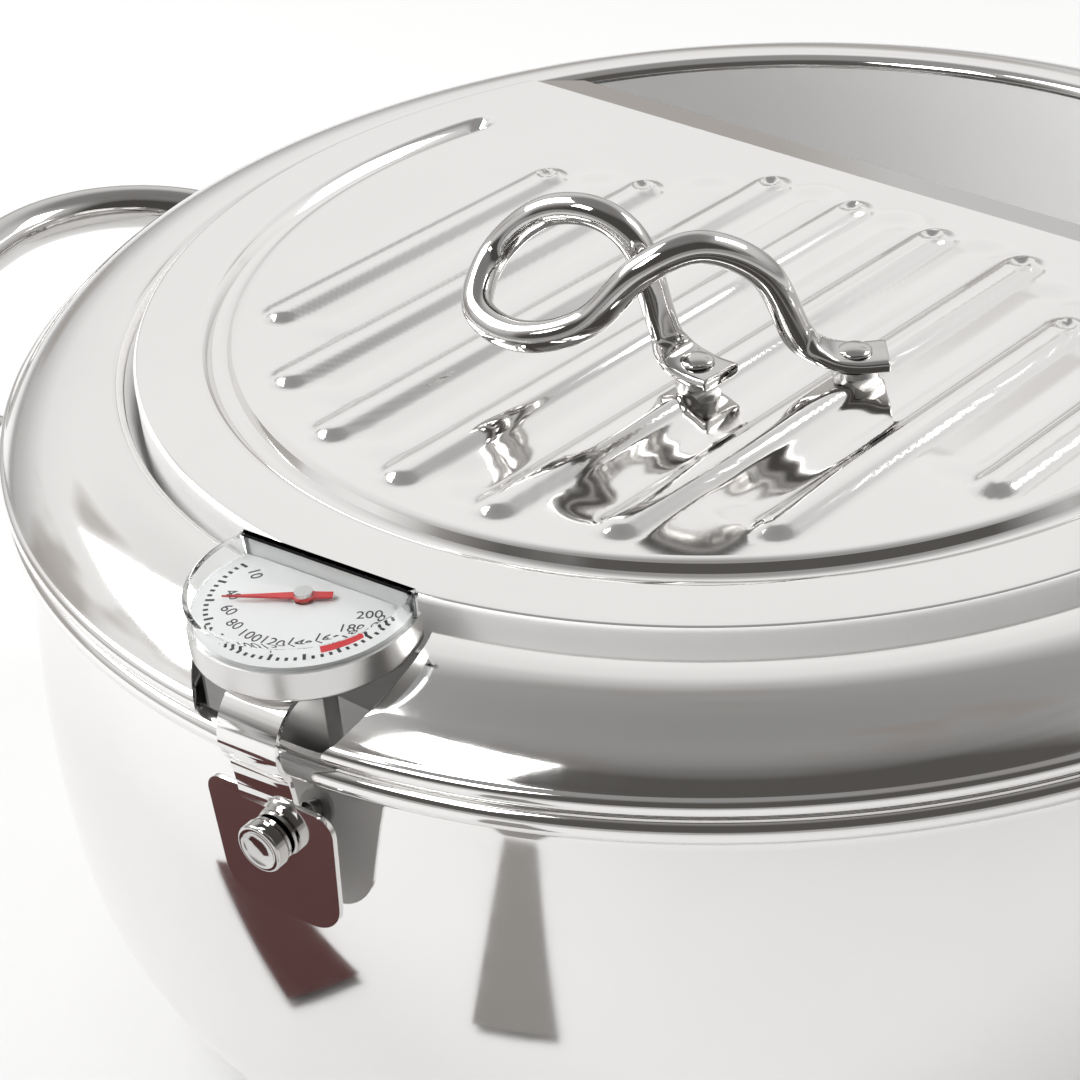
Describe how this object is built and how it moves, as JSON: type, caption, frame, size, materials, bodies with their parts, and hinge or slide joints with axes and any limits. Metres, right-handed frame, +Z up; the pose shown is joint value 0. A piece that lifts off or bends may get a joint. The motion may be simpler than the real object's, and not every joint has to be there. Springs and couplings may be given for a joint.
{
  "type": "stovetop deep frying pot",
  "caption": "Stainless steel stovetop frying pot with a domed splash ring, a ribbed drain lid with an open side, loop handles and a clamp-on dial thermometer.",
  "frame": {"origin": "centre of the base's underside", "axes": "+Z up, +X along both handles, the thermometer near -Y"},
  "size_m": [0.3418, 0.2546, 0.1465],
  "materials": {
    "polished_steel": "mirror-polished stainless steel",
    "base_steel": "fine-turned stainless steel",
    "satin_steel": "satin stainless steel",
    "case_steel": "satin stainless steel",
    "base_aluminium": "plain",
    "clear_lens": "clear",
    "black_rubber": "matte",
    "dial_white": "matte printed",
    "pointer_red": "gloss",
    "brass": "turned",
    "bimetal": "rolled strip"
  },
  "bodies": {
    "pot": {"arbor_bush": "brass", "base_cap": "base_steel", "base_core": "base_aluminium", "bimetal_coil": "bimetal", "case_lens": "clear_lens", "clamp_bush": "satin_steel", "clamp_inner_leg": "satin_steel", "dial_plate": "dial_white", "dial_support": "satin_steel", "left_handle": "polished_steel", "left_handle_feet": "polished_steel", "lens_gasket": "black_rubber", "pot_shell": "polished_steel", "right_handle": "polished_steel", "right_handle_feet": "polished_steel", "stem_nut": "satin_steel", "stem_plug": "satin_steel", "stem_tube": "satin_steel", "thermometer_case": "case_steel", "thermometer_strap": "polished_steel"},
    "splash_ring": {"splash_ring": "polished_steel", "ring_collar": "satin_steel"},
    "drain_lid": {"drain_lid": "polished_steel", "lid_handle": "polished_steel", "lid_handle_spacers": "satin_steel", "lid_handle_rivets": "polished_steel"},
    "pointer": {"pointer": "pointer_red", "pointer_cap": "pointer_red", "pointer_arbor": "satin_steel"},
    "clamp_screw": {"clamp_screw": "polished_steel"}
  },
  "joints": [
    {"name": "ring_lift", "type": "slide", "parent": "pot", "child": "splash_ring", "axis": [0, 0, 1], "range_m": [0, 0.08]},
    {"name": "lid_lift", "type": "slide", "parent": "splash_ring", "child": "drain_lid", "axis": [0, 0, 1], "range_m": [0, 0.08]},
    {"name": "pointer_turn", "type": "hinge", "parent": "pot", "child": "pointer", "pos_m": [-0.01736, -0.10963, 0.12], "axis": [0, 0, 1], "range_deg": [-32, 150]},
    {"name": "clamp_screw_turn", "type": "hinge", "parent": "pot", "child": "clamp_screw", "pos_m": [-0.01737, -0.12887, 0.091], "axis": [-0.1564, -0.9877, 0], "continuous": true}
  ]
}
